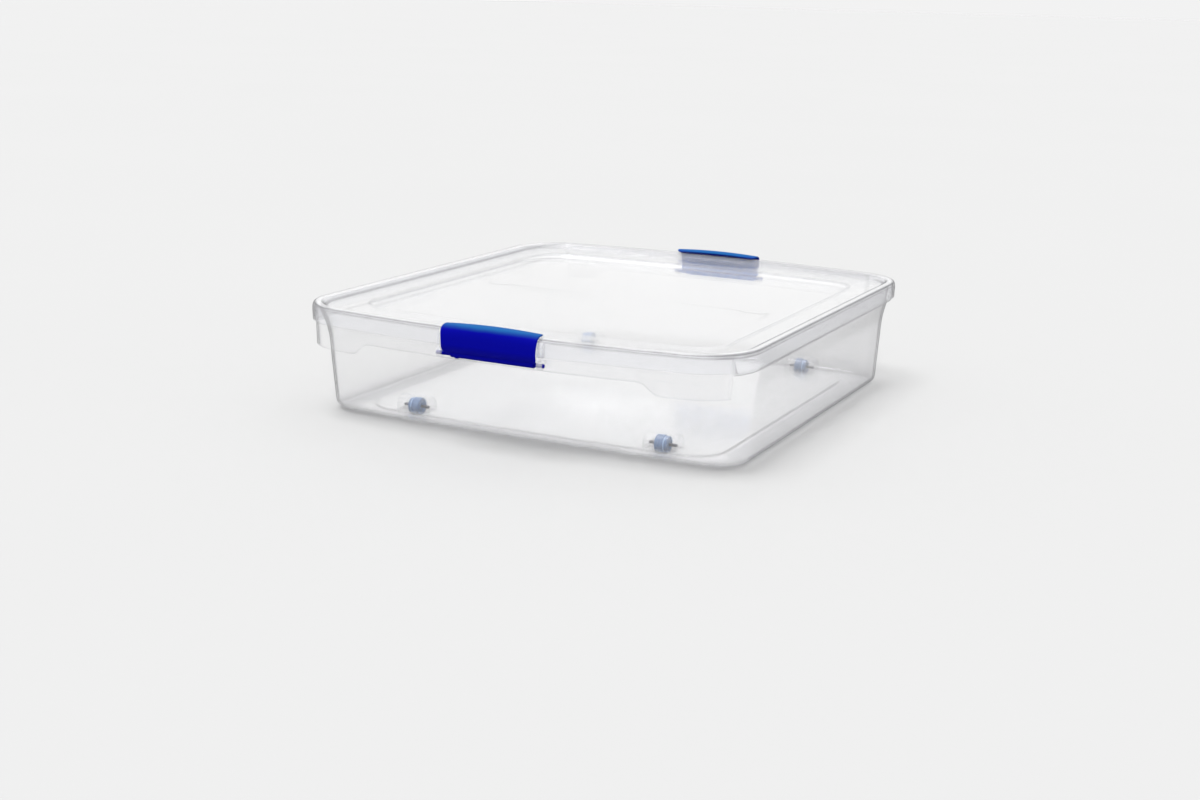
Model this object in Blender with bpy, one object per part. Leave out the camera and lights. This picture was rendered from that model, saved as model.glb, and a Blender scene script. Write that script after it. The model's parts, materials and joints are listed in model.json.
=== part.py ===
"""A clear under-bed storage box on four small wheels, with a lift-off lid held by two latches.

Metres, +Z up. The origin is on the floor under the middle of the box, -Y is the front (a latch
side), and the wheels roll front to back. Insets are measured inwards from the lid's outer edge,
whose front and back edges bow outwards a little.
"""

import math

import bmesh
import bpy
from mathutils import Matrix

# Lid edge in plan: every other outline of the box follows it.
RIM_HALF_X = 0.320
RIM_HALF_Y = 0.366
RIM_RADIUS = 0.082
RIM_BOW = 0.018

# Heights above the floor
BASE_Z = 0.003
LID_EDGE_Z = 0.131
RIM_TOP_Z = 0.1524
CROWN_Z = 0.1548

WALL = 0.0022
FLOOR_STEP = 0.0022
APRON_MIDDLE_Z = 0.113
APRON_CORNER_Z = 0.0975
LIP_Z = 0.1265
FLANGE_UNDERSIDE_Z = 0.150
APRON_JOG_X = 0.197
APRON_WRAP = math.radians(50)

# The tub's outer wall from the base up: height, half width, half depth, corner radius, bow
BASE_STATIONS = (
    (BASE_Z, 0.2915, 0.2870, 0.034, 0.005),
    (0.0065, 0.3010, 0.2965, 0.042, 0.006),
    (0.0150, 0.3050, 0.3010, 0.047, 0.006),
)
WALL_STATIONS = (
    (0.0730, 0.3072, 0.3170, 0.056, 0.010),
    (0.0980, 0.3088, 0.3250, 0.062, 0.013),
    (0.1150, 0.3120, 0.3322, 0.069, 0.015),
    (0.1255, 0.3142, 0.3390, 0.074, 0.016),
    (0.1380, 0.3146, 0.3490, 0.077, 0.017),
    (FLANGE_UNDERSIDE_Z, 0.3146, 0.3561, 0.078, 0.018),
)
FLOOR_PANEL = (0.258, 0.268, 0.045, 0.005)

# Lid
LID_SHEET = 0.0020
LID_PANEL_Z = 0.1485
LID_SUNK = 0.0080
SUNK_STEP = 0.0090
SUNK_PANEL = (0.2545, 0.2795, 0.040, 0.014)

# Latches: the hinge axis runs along X just outside the apron
HINGE_Y = 0.3675
HINGE_Z = 0.122
LATCH_HALF = 0.067
BARREL_R = 0.0042
TRUNNION_R = 0.0026
TRUNNION_END = 0.076
EAR_INNER_X = 0.0678
EAR_OUTER_X = 0.0748
EAR_R = 0.0062

# Wheels and axles
WHEEL_X = 0.184
WHEEL_FRONT_Y = 0.246
WHEEL_BACK_Y = 0.270
WHEEL_R = 0.0115
WHEEL_HALF = 0.0083
FLANGE_R = 0.0103
GROOVE_R = 0.0090
AXLE_R = 0.002
AXLE_HALF = 0.0190
ARCH_HALF = 0.023
ARCH_R = 0.0158
POCKET_HALF = 0.0096
POCKET_R = 0.0136
SLOT_HALF = 0.0195
GAP = 0.0003

EDGE_SEGMENTS = 16
CORNER_SEGMENTS = 5

SIDES = {"left": -1, "right": 1}
ENDS = {"front": -1, "back": 1}
WHEEL_PLACES = {
    f"{end}_{side}": (sign * WHEEL_X, y, sign)
    for end, y in (("front", -WHEEL_FRONT_Y), ("back", WHEEL_BACK_Y))
    for side, sign in SIDES.items()
}


def clear_scene():
    for obj in list(bpy.data.objects):
        bpy.data.objects.remove(obj)


def new_collection(name, hidden=False):
    collection = bpy.data.collections.new(name)
    collection.hide_render = hidden
    bpy.context.scene.collection.children.link(collection)
    return collection


def material(name, colour, roughness, metallic=0.0, transmission=0.0):
    made = bpy.data.materials.new(name)
    made.use_nodes = True
    shader = made.node_tree.nodes["Principled BSDF"]
    shader.inputs["Base Color"].default_value = (*colour, 1.0)
    shader.inputs["Roughness"].default_value = roughness
    shader.inputs["Metallic"].default_value = metallic
    shader.inputs["Transmission Weight"].default_value = transmission
    made.diffuse_color = (*colour, 1.0)
    return made


def object_of(name, bm, collection, surface=None):
    """The bmesh as an object, smooth except over edges sharper than 35 degrees."""
    mesh = bpy.data.meshes.new(name)
    bmesh.ops.recalc_face_normals(bm, faces=bm.faces)
    bm.to_mesh(mesh)
    bm.free()
    mesh.shade_smooth()
    mesh.set_sharp_from_angle(angle=math.radians(35))
    obj = bpy.data.objects.new(name, mesh)
    collection.objects.link(obj)
    if surface:
        mesh.materials.append(surface)
    return obj


def helper(name, bm, collection):
    """A solid that only serves a Boolean."""
    obj = object_of(name, bm, collection)
    obj.hide_render = True
    obj.display_type = "WIRE"
    return obj


def boolean(obj, operation, other):
    modifier = obj.modifiers.new(other.name, "BOOLEAN")
    modifier.operation = operation
    modifier.solver = "EXACT"
    modifier.object = other


def outline(half_x, half_y, radius, bow):
    """Plan points, counter-clockwise from the left end of the front edge.

    The front and back edges are arcs that reach half_y in the middle and lose `bow` by the
    corners, the sides are straight, and the corner arcs run on from both without a kink.
    """
    lean = 0.0
    for _ in range(8):
        join_x = half_x - radius + radius * math.sin(lean)
        lean = math.atan(2 * bow / join_x)
    centre_x = half_x - radius
    centre_y = half_y - bow - radius * math.cos(lean)
    front = []
    for i in range(EDGE_SEGMENTS + 1):
        x = join_x * (2 * i / EDGE_SEGMENTS - 1)
        front.append((x, bow * (x / join_x) ** 2 - half_y))
    sweep = math.pi / 2 - lean
    corner = []
    for i in range(1, CORNER_SEGMENTS + 1):
        turn = sweep * (i / CORNER_SEGMENTS - 1)
        corner.append((centre_x + radius * math.cos(turn), radius * math.sin(turn) - centre_y))
    half = front + corner + [(x, -y) for x, y in reversed(corner)]
    return half + [(-x, -y) for x, y in half]


def ring(half_x, half_y, radius, bow, z):
    return [(x, y, z) for x, y in outline(half_x, half_y, radius, bow)]


def inset_ring(inset, z):
    """The lid's edge moved inwards, at height z."""
    return ring(RIM_HALF_X - inset, RIM_HALF_Y - inset, RIM_RADIUS - inset, RIM_BOW, z)


def loft(rings):
    """A closed solid through the rings in order, with a flat face over the first and the last."""
    bm = bmesh.new()
    rows = [[bm.verts.new(point) for point in row] for row in rings]
    count = len(rows[0])
    for lower, upper in zip(rows, rows[1:]):
        for i in range(count):
            j = (i + 1) % count
            bm.faces.new((lower[i], lower[j], upper[j], upper[i]))
    bm.faces.new(rows[0])
    bm.faces.new(rows[-1])
    bmesh.ops.triangulate(bm, faces=bm.faces[:])
    return bm


def prism(bm, profile, x0, x1):
    """Adds a solid of one (y, z) profile between two x positions."""
    face = bm.faces.new([bm.verts.new((x0, y, z)) for y, z in profile])
    made = bmesh.ops.extrude_face_region(bm, geom=[face])
    moved = [item for item in made["geom"] if isinstance(item, bmesh.types.BMVert)]
    bmesh.ops.translate(bm, verts=moved, vec=(x1 - x0, 0, 0))


def arch(y, z, radius, bottom_z, steps=10):
    """A half-round top of this radius about (y, z), with straight sides down to bottom_z."""
    points = [(y + radius, bottom_z)]
    for i in range(steps + 1):
        turn = math.pi * i / steps
        points.append((y + radius * math.cos(turn), z + radius * math.sin(turn)))
    return points + [(y - radius, bottom_z)]


def cylinder_x(bm, centre, radius, half_length, sides=16):
    matrix = Matrix.Translation(centre) @ Matrix.Rotation(math.pi / 2, 4, "Y")
    bmesh.ops.create_cone(bm, cap_ends=True, segments=sides, radius1=radius, radius2=radius,
                          depth=2 * half_length, matrix=matrix)


def apron_heights(x, y):
    """(lower edge, underside of the flange) of the apron that hangs from the rim at this point.

    It is deep along both ends, deepest towards the corners, wraps part of the way round the
    front corners, and is only a thick lip along the sides.
    """
    straight_x = RIM_HALF_X - RIM_RADIUS
    turn = 0.0
    if abs(x) > straight_x:
        corner_y = abs(y) - (RIM_HALF_Y - RIM_BOW - RIM_RADIUS)
        turn = math.pi / 2 - math.atan2(corner_y, abs(x) - straight_x)
    wrap = APRON_WRAP if y < 0 else math.radians(10)
    if turn > wrap:
        return LIP_Z, LIP_Z + 0.0010
    deep = abs(x) > APRON_JOG_X
    return (APRON_CORNER_Z if deep else APRON_MIDDLE_Z), FLANGE_UNDERSIDE_Z


def apron_ring(inset, which):
    """A ring whose height follows the apron's lower edge (0) or the flange's underside (1)."""
    return [(x, y, apron_heights(x, y)[which]) for x, y, _ in inset_ring(inset, 0.0)]


def tub_rings():
    """Up the outside of the wall, out and down the apron, over the rim, and down the inside."""
    rings = [ring(hx, hy, r, bow, z) for z, hx, hy, r, bow in BASE_STATIONS + WALL_STATIONS[:4]]
    for below, (z, hx, hy, r, bow) in zip((0.0006, 0.0), WALL_STATIONS[4:]):
        rows = ring(hx, hy, r, bow, z)
        rings.append([(x, y, min(z, apron_heights(x, y)[1] - below)) for x, y, _ in rows])
    rings += [
        apron_ring(0.0051, 1),
        apron_ring(0.0074, 0),
        apron_ring(0.0052, 0),
        inset_ring(0.0044, LIP_Z + 0.0015),
        inset_ring(0.0028, LID_EDGE_Z - 0.0005),
        inset_ring(0.0028, FLANGE_UNDERSIDE_Z - 0.0025),
        inset_ring(0.0048, RIM_TOP_Z),
    ]
    _, half_x, half_y, radius, bow = WALL_STATIONS[-1]
    rings.append(ring(half_x - 0.0016, half_y - 0.0002, radius, bow, RIM_TOP_Z))
    for z, hx, hy, r, bow in reversed(BASE_STATIONS[1:] + WALL_STATIONS):
        rings.append(ring(hx - WALL, hy - WALL, r - WALL, bow, max(z, BASE_Z + 2 * WALL)))
    _, half_x, half_y, radius, bow = BASE_STATIONS[0]
    rings.append(ring(half_x, half_y, radius, bow, BASE_Z + WALL))
    half_x, half_y, radius, bow = FLOOR_PANEL
    rings.append(ring(half_x + 0.003, half_y + 0.003, radius, bow, BASE_Z + WALL))
    rings.append(ring(half_x, half_y, radius, bow, BASE_Z + WALL + FLOOR_STEP))
    return rings


def lid_rings():
    """From the sunk panel outwards over the crown, down the edge, and back along the underside."""
    half_x, half_y, radius, bow = SUNK_PANEL
    step = SUNK_STEP
    top = [
        ring(half_x, half_y, radius, bow, LID_PANEL_Z - LID_SUNK),
        ring(half_x + step, half_y + step, radius + step, bow, LID_PANEL_Z),
        inset_ring(0.0185, LID_PANEL_Z),
        inset_ring(0.0150, CROWN_Z - 0.0023),
        inset_ring(0.0105, CROWN_Z),
        inset_ring(0.0050, CROWN_Z),
        inset_ring(0.0012, CROWN_Z - 0.0028),
        inset_ring(0.0000, CROWN_Z - 0.0078),
        inset_ring(0.0004, LID_EDGE_Z),
    ]
    under = [
        inset_ring(0.0023, LID_EDGE_Z),
        inset_ring(0.0022, CROWN_Z - 0.0068),
        inset_ring(0.0042, CROWN_Z - LID_SHEET),
        inset_ring(0.0110, CROWN_Z - LID_SHEET),
        inset_ring(0.0135, CROWN_Z - 0.0040),
        inset_ring(0.0170, LID_PANEL_Z - LID_SHEET),
        ring(half_x + step + 0.001, half_y + step + 0.001, radius + step, bow,
             LID_PANEL_Z - LID_SHEET),
        ring(half_x + 0.001, half_y + 0.001, radius, bow, LID_PANEL_Z - LID_SUNK - LID_SHEET),
    ]
    return top + under


def make_tub(parts, helpers, surface):
    tub = object_of("tub", loft(tub_rings()), parts, surface)

    arches = bmesh.new()
    pockets = bmesh.new()
    slots = bmesh.new()
    for x, y, _ in WHEEL_PLACES.values():
        prism(arches, arch(y, WHEEL_R, ARCH_R, BASE_Z + 0.0008), x - ARCH_HALF, x + ARCH_HALF)
        prism(pockets, arch(y, WHEEL_R, POCKET_R, -0.002), x - POCKET_HALF, x + POCKET_HALF)
        prism(slots, arch(y, WHEEL_R, AXLE_R + GAP, -0.001, steps=8), x - SLOT_HALF, x + SLOT_HALF)

    ears = bmesh.new()
    holes = bmesh.new()
    ear_x = (EAR_INNER_X + EAR_OUTER_X) / 2
    for side in SIDES.values():
        for end in ENDS.values():
            profile = [(end * (HINGE_Y - 0.0093), HINGE_Z + EAR_R)]
            for i in range(9):
                turn = math.pi / 2 - math.pi * i / 8
                profile.append((end * (HINGE_Y + EAR_R * math.cos(turn)),
                                HINGE_Z + EAR_R * math.sin(turn)))
            profile.append((end * (HINGE_Y - 0.0093), HINGE_Z - EAR_R * 0.4))
            prism(ears, profile, side * EAR_INNER_X, side * EAR_OUTER_X)
            cylinder_x(holes, (side * ear_x, end * HINGE_Y, HINGE_Z), TRUNNION_R + GAP, 0.0055)

    # The underside follows the raised floor panel.
    half_x, half_y, radius, bow = FLOOR_PANEL
    inner = ring(half_x - 0.001, half_y - 0.001, radius, bow, BASE_Z + FLOOR_STEP)
    outer = ring(half_x + 0.002, half_y + 0.002, radius, bow, BASE_Z - 0.001)
    recess = loft([outer, inner])

    boolean(tub, "DIFFERENCE", helper("floor_recess", recess, helpers))
    boolean(tub, "UNION", helper("wheel_arches", arches, helpers))
    boolean(tub, "UNION", helper("latch_ears", ears, helpers))
    boolean(tub, "DIFFERENCE", helper("wheel_pockets", pockets, helpers))
    boolean(tub, "DIFFERENCE", helper("axle_slots", slots, helpers))
    boolean(tub, "DIFFERENCE", helper("trunnion_holes", holes, helpers))
    return tub


def make_lid(parts, helpers, surface):
    lid = object_of("lid", loft(lid_rings()), parts, surface)
    cheeks = bmesh.new()
    for side in SIDES.values():
        for end in ENDS.values():
            profile = [(end * y, z) for y, z in (
                (RIM_HALF_Y - 0.003, LID_EDGE_Z + 0.0005),
                (RIM_HALF_Y + 0.004, LID_EDGE_Z + 0.0005),
                (RIM_HALF_Y + 0.004, CROWN_Z - 0.0078),
                (RIM_HALF_Y + 0.001, CROWN_Z - 0.0038),
                (RIM_HALF_Y - 0.003, CROWN_Z - 0.0038),
            )]
            prism(cheeks, profile, side * EAR_INNER_X, side * EAR_OUTER_X)
    boolean(lid, "UNION", helper("latch_cheeks", cheeks, helpers))
    return lid


def make_latch(name, end, parts, helpers, surface):
    """A handle-wide hook: a barrel at the bottom, a bulging plate, and a lip over the lid's crown.

    The profile is (distance out from the hinge axis, height above it); the object's origin is
    on that axis.
    """
    outer = ((0.0036, 0.0022), (0.0062, 0.0070), (0.0073, 0.0160), (0.0066, 0.0265),
             (0.0038, 0.0328), (-0.0015, 0.0364), (-0.0075, 0.0370), (-0.0124, 0.0365),
             (-0.0148, 0.0348))
    inner = ((-0.0138, 0.0337), (-0.0112, 0.0341), (-0.0075, 0.0342), (-0.0030, 0.0336),
             (0.0012, 0.0304), (0.0038, 0.0260), (0.0046, 0.0160), (0.0036, 0.0075),
             (-0.0010, 0.0032))
    plate = bmesh.new()
    prism(plate, [(end * y, z) for y, z in outer + inner], -LATCH_HALF, LATCH_HALF)
    latch = object_of(name, plate, parts, surface)
    latch.location = (0, end * HINGE_Y, HINGE_Z)
    for part, radius, half in (("barrel", BARREL_R, LATCH_HALF), ("trunnion", TRUNNION_R, TRUNNION_END)):
        rod = bmesh.new()
        cylinder_x(rod, (0, 0, 0), radius, half)
        shape = helper(f"{name}_{part}", rod, helpers)
        shape.location = latch.location
        boolean(latch, "UNION", shape)
    return latch


def make_wheel(name, x, y, side, parts, surface):
    """A spool: a wide tread, a groove, and a narrow flange towards the box's outer side."""
    bore = AXLE_R + GAP + 0.0001
    profile = (
        (WHEEL_HALF, bore), (WHEEL_HALF, FLANGE_R - 0.0010), (0.0075, FLANGE_R),
        (0.0045, FLANGE_R), (0.0039, GROOVE_R), (0.0030, GROOVE_R), (0.0024, WHEEL_R),
        (-0.0073, WHEEL_R), (-WHEEL_HALF, WHEEL_R - 0.0012), (-WHEEL_HALF, bore),
    )
    bm = bmesh.new()
    steps = 20
    flat = 1 / math.cos(math.pi / steps)
    rows = []
    for i in range(steps):
        turn = 2 * math.pi * i / steps + math.pi / steps
        rows.append([bm.verts.new((side * px, flat * r * math.sin(turn), flat * r * math.cos(turn)))
                     for px, r in profile])
    count = len(profile)
    for i in range(steps):
        first, second = rows[i], rows[(i + 1) % steps]
        for j in range(count):
            k = (j + 1) % count
            bm.faces.new((first[j], first[k], second[k], second[j]))
    wheel = object_of(name, bm, parts, surface)
    wheel.location = (x, y, WHEEL_R)
    return wheel


def make_axle(name, x, y, parts, surface):
    bm = bmesh.new()
    cylinder_x(bm, (0, 0, 0), AXLE_R, AXLE_HALF, sides=12)
    axle = object_of(name, bm, parts, surface)
    axle.location = (x, y, WHEEL_R)
    return axle


def main():
    clear_scene()
    parts = new_collection("under_bed_box")
    helpers = new_collection("cutters", hidden=True)
    make_tub(parts, helpers, material("clear_tub", (0.90, 0.92, 0.95), 0.12, transmission=0.9))
    make_lid(parts, helpers, material("clear_lid", (0.95, 0.96, 0.98), 0.15, transmission=0.9))
    for end_name, end in ENDS.items():
        blue = material(f"blue_{end_name}_latch", (0.005, 0.01, 0.42), 0.28)
        make_latch(f"{end_name}_latch", end, parts, helpers, blue)
    for where, (x, y, side) in WHEEL_PLACES.items():
        pale_blue = material(f"pale_blue_wheel_{where}", (0.20, 0.30, 0.56), 0.35)
        make_wheel(f"wheel_{where}", x, y, side, parts, pale_blue)
        steel = material(f"steel_axle_{where}", (0.45, 0.46, 0.50), 0.30, metallic=1.0)
        make_axle(f"axle_{where}", x, y, parts, steel)


main()
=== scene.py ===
"""The look of a clear under-bed storage box with two blue latches and four small blue wheels.

Metres, +Z up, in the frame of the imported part: the origin is on the floor under the middle of the
box and -Y is the front. Insets are measured inwards from the lid's outer edge, in plan.
"""

import json
import math

import bmesh
import bpy
from mathutils import Matrix, Vector


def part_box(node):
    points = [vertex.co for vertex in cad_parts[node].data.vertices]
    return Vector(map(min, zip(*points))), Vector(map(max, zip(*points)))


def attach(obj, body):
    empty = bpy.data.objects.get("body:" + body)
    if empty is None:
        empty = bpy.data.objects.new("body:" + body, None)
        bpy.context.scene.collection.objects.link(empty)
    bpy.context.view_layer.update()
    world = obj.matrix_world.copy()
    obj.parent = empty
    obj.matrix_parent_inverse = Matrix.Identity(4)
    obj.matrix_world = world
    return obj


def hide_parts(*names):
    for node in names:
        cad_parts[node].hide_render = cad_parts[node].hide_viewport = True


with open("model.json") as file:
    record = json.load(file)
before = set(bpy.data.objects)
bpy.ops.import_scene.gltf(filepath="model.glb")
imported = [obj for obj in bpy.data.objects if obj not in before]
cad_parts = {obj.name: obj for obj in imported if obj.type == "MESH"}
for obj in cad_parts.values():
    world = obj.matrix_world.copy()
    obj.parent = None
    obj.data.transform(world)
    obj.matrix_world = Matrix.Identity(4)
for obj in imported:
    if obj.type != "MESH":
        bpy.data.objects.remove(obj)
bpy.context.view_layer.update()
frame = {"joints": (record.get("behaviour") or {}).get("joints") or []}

SIDES = {"left": -1, "right": 1}
ENDS = {"front": -1, "back": 1}

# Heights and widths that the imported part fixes
LID_LOW, LID_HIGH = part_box("lid")
TUB_LOW, TUB_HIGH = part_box("tub")
RIM_HALF_X = LID_HIGH.x
LID_EDGE_Z = LID_LOW.z
CROWN_Z = LID_HIGH.z
BASE_Z = TUB_LOW.z
RIM_TOP_Z = TUB_HIGH.z
HINGES = {j["child"]: Vector(j["pos_m"]) for j in frame["joints"] if j["name"].endswith("_hinge")}
HINGE_Y = abs(HINGES["front_latch_body"].y)
HINGE_Z = HINGES["front_latch_body"].z

# The lid's outline in plan: every other outline of the box follows it
RIM_HALF_Y = 0.366
RIM_RADIUS = 0.082
RIM_BOW = 0.018

# Tub
WALL = 0.0022
FLOOR_STEP = 0.0022
FLOOR_PANEL = (0.258, 0.268, 0.045, 0.005)
BASE_RUN = 0.0135
BASE_RISE = 0.0120
WALL_STATIONS = (
    (0.0150, 0.3050, 0.3010, 0.047, 0.006),
    (0.0730, 0.3072, 0.3170, 0.056, 0.010),
    (0.0980, 0.3088, 0.3250, 0.062, 0.013),
    (0.1150, 0.3120, 0.3322, 0.069, 0.015),
    (0.1255, 0.3142, 0.3390, 0.074, 0.016),
    (0.1380, 0.3146, 0.3490, 0.077, 0.017),
    (0.1500, 0.3146, 0.3561, 0.078, 0.018),
)
FLANGE_UNDERSIDE_Z = 0.150
APRON_MIDDLE_Z = 0.113
APRON_CORNER_Z = 0.0975
LIP_Z = 0.1265
APRON_JOG = (0.195, 0.220)
APRON_WRAP = {"front": 50, "back": 10}

# Lid
LID_SHEET = 0.0020
LID_PANEL_Z = 0.1485
LID_SUNK = 0.0080
SUNK_STEP = 0.0090
FOLD_GROOVE = 0.00012
SUNK_PANEL = (0.2545, 0.2795, 0.040, 0.014)

# Two faint oval marks on the lid
MARK_X = 0.200
MARK_Y = 0.009
MARK_HALF = (0.0200, 0.0095)

# Latches and the clear ears and cheeks at their ends
LATCH_HALF = 0.067
LATCH_CORNER = 0.0085
BARREL_R = 0.0042
TRUNNION_R = 0.0026
TRUNNION_END = 0.076
EAR_INNER_X = 0.0678
EAR_OUTER_X = 0.0748
EAR_R = 0.0062

# Wheels, pins and the housings round them
WHEEL_HALF = 0.0083
GROOVE_R = 0.0090
FLANGE_R = 0.0103
PIN_R = 0.002
PIN_HALF = 0.0190
ARCH_HALF = 0.023
ARCH_R = 0.0158
ARCH_EDGE = 0.003
POCKET_HALF = 0.0096
POCKET_R = 0.0136
SLOT_HALF = 0.0195
GAP = 0.0003

# Share of the dark shade over bends that is left on parts where bends show less
HOUSING_SHADE = 0.30
APRON_END_SHADE = 0.20
FLOOR_SHADE = 0.60
HINGE_SHADE = 0.50
APRON_SHADE = 0.45
SKIRT_EDGE_SHADE = 0.35
FRONT_GROOVE_SHADE = 0.35
FRONT_CORNER_SHADE = 0.45

# The painted shade of the corner round the base where it meets the floor, and how much is gone at its top
BASE_CORNER_SHADE = 0.68
BASE_CORNER_FADE = 0.48

# How much whiter than the rest some parts of the clear plastic are; on the crown, a painted highlight
HOUSING_FROST = 0.12
APRON_END_FROST = 0.5
EAR_FROST = 1.1
CHEEK_FROST = 0.8
FRONT_CROWN_HIGHLIGHT = 0.8
SIDE_CROWN_HIGHLIGHT = 1.5

# Half widths between which the crown's painted highlight and shade change from their look at
# the front to that along the sides
SIDE_LOOK = (0.27, 0.30)

EDGE_STEPS = 72
SIDE_STEPS = 28
CORNER_STEPS = 20


# ---------------------------------------------------------------- shapes


def smoothstep(low, high, value):
    t = min(1.0, max(0.0, (value - low) / (high - low)))
    return t * t * (3 - 2 * t)


def rounded(points, steps=5):
    """The path through (u, v, radius) points, with each corner replaced by an arc-like curve."""
    path = [Vector(points[0][:2])]
    for before, here, after in zip(points, points[1:], points[2:]):
        corner = Vector(here[:2])
        arriving = corner - Vector(before[:2])
        leaving = Vector(after[:2]) - corner
        turn = arriving.angle(leaving, 0.0)
        reach = min(here[2] * math.tan(turn / 2), 0.48 * arriving.length, 0.48 * leaving.length)
        if reach < 1e-6:
            path.append(corner)
            continue
        start = corner - arriving.normalized() * reach
        end = corner + leaving.normalized() * reach
        for i in range(steps + 1):
            t = i / steps
            path.append((1 - t) ** 2 * start + 2 * t * (1 - t) * corner + t * t * end)
    path.append(Vector(points[-1][:2]))
    return [(p.x, p.y) for p in path]


def curve_through(points, per_span=6):
    """Points along a Catmull-Rom curve through the given tuples."""
    ends = [points[0], *points, points[-1]]
    made = []
    for a, b, c, d in zip(ends, ends[1:], ends[2:], ends[3:]):
        for i in range(per_span):
            t = i / per_span
            made.append(tuple(
                0.5 * (2 * q + (r - p) * t + (2 * p - 5 * q + 4 * r - s) * t * t
                       + (3 * q - p - 3 * r + s) * t ** 3)
                for p, q, r, s in zip(a, b, c, d)))
    return made + [tuple(points[-1])]


def corner_turns():
    """Degrees round a corner, 0 at the front or back edge, with a close pair at each apron end."""
    turns = [90 * i / CORNER_STEPS for i in range(1, CORNER_STEPS + 1)]
    for wrap in APRON_WRAP.values():
        turns += [wrap - 0.4, wrap + 0.4]
    return sorted(turns)


TURNS = corner_turns()


def outline(half_x, half_y, radius, bow):
    """Plan points, counter-clockwise from the left end of the front edge.

    The front and back edges are arcs that reach half_y in the middle and lose `bow` by the
    corners; the sides are straight; the corner arcs run on from both without a kink.
    """
    lean = 0.0
    for _ in range(8):
        join_x = half_x - radius + radius * math.sin(lean)
        lean = math.atan(2 * bow / join_x)
    centre_x = half_x - radius
    centre_y = half_y - bow - radius * math.cos(lean)
    front = []
    for i in range(EDGE_STEPS + 1):
        x = join_x * (2 * i / EDGE_STEPS - 1)
        front.append((x, bow * (x / join_x) ** 2 - half_y))
    corner = []
    for degrees in TURNS:
        turn = -(math.pi / 2 - lean) * (1 - degrees / 90)
        corner.append((centre_x + radius * math.cos(turn), radius * math.sin(turn) - centre_y))
    side = [(half_x, -centre_y * (1 - 2 * i / SIDE_STEPS)) for i in range(1, SIDE_STEPS)]
    half = front + corner + side + [(x, -y) for x, y in reversed(corner)]
    return half + [(-x, -y) for x, y in half]


def column_places():
    """For each outline point: (x on the lid's edge, 'front' or 'back', degrees round the corner)."""
    edge = outline(RIM_HALF_X, RIM_HALF_Y, RIM_RADIUS, RIM_BOW)
    quarter = [0.0] * (EDGE_STEPS + 1) + TURNS + [90.0] * (SIDE_STEPS - 1) + TURNS[::-1]
    return [(x, "front" if y < 0 else "back", turn)
            for (x, y), turn in zip(edge, quarter + quarter)]


COLUMNS = column_places()


def apron_column(x, end, turn):
    """(is there an apron, its lower edge, the flange's underside) at one outline point."""
    if turn > APRON_WRAP[end]:
        return False, LIP_Z, LIP_Z + 0.0010
    drop = smoothstep(*APRON_JOG, abs(x)) * (APRON_MIDDLE_Z - APRON_CORNER_Z)
    return True, APRON_MIDDLE_Z - drop, FLANGE_UNDERSIDE_Z


APRON = [apron_column(*place) for place in COLUMNS]


def ring(half_x, half_y, radius, bow, z):
    return [(x, y, z) for x, y in outline(half_x, half_y, radius, bow)]


def inset_ring(inset, z):
    return ring(RIM_HALF_X - inset, RIM_HALF_Y - inset, RIM_RADIUS - inset, RIM_BOW, z)


def panel_ring(panel, offset, z):
    half_x, half_y, radius, bow = panel
    return ring(half_x + offset, half_y + offset, radius + offset, bow, z)


def station(z):
    """(half width, half depth, corner radius, bow) of the tub's outer wall at a height."""
    spans = list(zip(WALL_STATIONS, WALL_STATIONS[1:]))
    index = next((i for i, (_, upper) in enumerate(spans) if z <= upper[0]), len(spans) - 1)
    low, high = spans[index]
    before = WALL_STATIONS[max(index - 1, 0)]
    after = WALL_STATIONS[min(index + 2, len(WALL_STATIONS) - 1)]
    width = high[0] - low[0]
    t = min(1.0, max(0.0, (z - low[0]) / width))
    values = []
    for k in range(1, 5):
        rise = (high[k] - low[k]) / width
        slope_low = rise if index == 0 else (high[k] - before[k]) / (high[0] - before[0])
        slope_high = rise if index == len(spans) - 1 else (after[k] - low[k]) / (after[0] - low[0])
        values.append((1 + 2 * t) * (1 - t) ** 2 * low[k] + t * (1 - t) ** 2 * width * slope_low
                      + t * t * (3 - 2 * t) * high[k] + t * t * (t - 1) * width * slope_high)
    return values


def wall_ring(z, inset=0.0):
    half_x, half_y, radius, bow = station(z)
    return ring(half_x - inset, half_y - inset, radius - inset, bow, z)


def fillet_rings(inset, floor_z, run, rise, steps=8):
    """Rings round the bottom corner of the tub, from the flat base to the wall."""
    half_x, half_y, radius, bow = station(BASE_Z + BASE_RISE)
    rings = []
    for i in range(steps + 1):
        turn = math.pi / 2 * i / steps
        back = inset + run * (1 - math.sin(turn))
        rings.append(ring(half_x - back, half_y - back, radius - back, bow,
                          floor_z + rise * (1 - math.cos(turn))))
    return rings


def loft(rings):
    """A closed solid through the rings in order, with a flat face over the first and the last."""
    bm = bmesh.new()
    rows = [[bm.verts.new(point) for point in row] for row in rings]
    count = len(rows[0])
    for lower, upper in zip(rows, rows[1:]):
        for i in range(count):
            j = (i + 1) % count
            bm.faces.new((lower[i], lower[j], upper[j], upper[i]))
    bm.faces.new(rows[0])
    bm.faces.new(rows[-1])
    return bm


def lathe_x(bm, profile, centre, steps=64):
    """Adds a solid turned about a line along X. The profile is closed, of (x, radius)."""
    rows = []
    for i in range(steps):
        turn = 2 * math.pi * i / steps
        rows.append([bm.verts.new((centre[0] + x, centre[1] + r * math.cos(turn),
                                   centre[2] + r * math.sin(turn))) for x, r in profile])
    count = len(profile)
    for i in range(steps):
        first, second = rows[i], rows[(i + 1) % steps]
        for j in range(count):
            k = (j + 1) % count
            bm.faces.new((first[j], first[k], second[k], second[j]))


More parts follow.
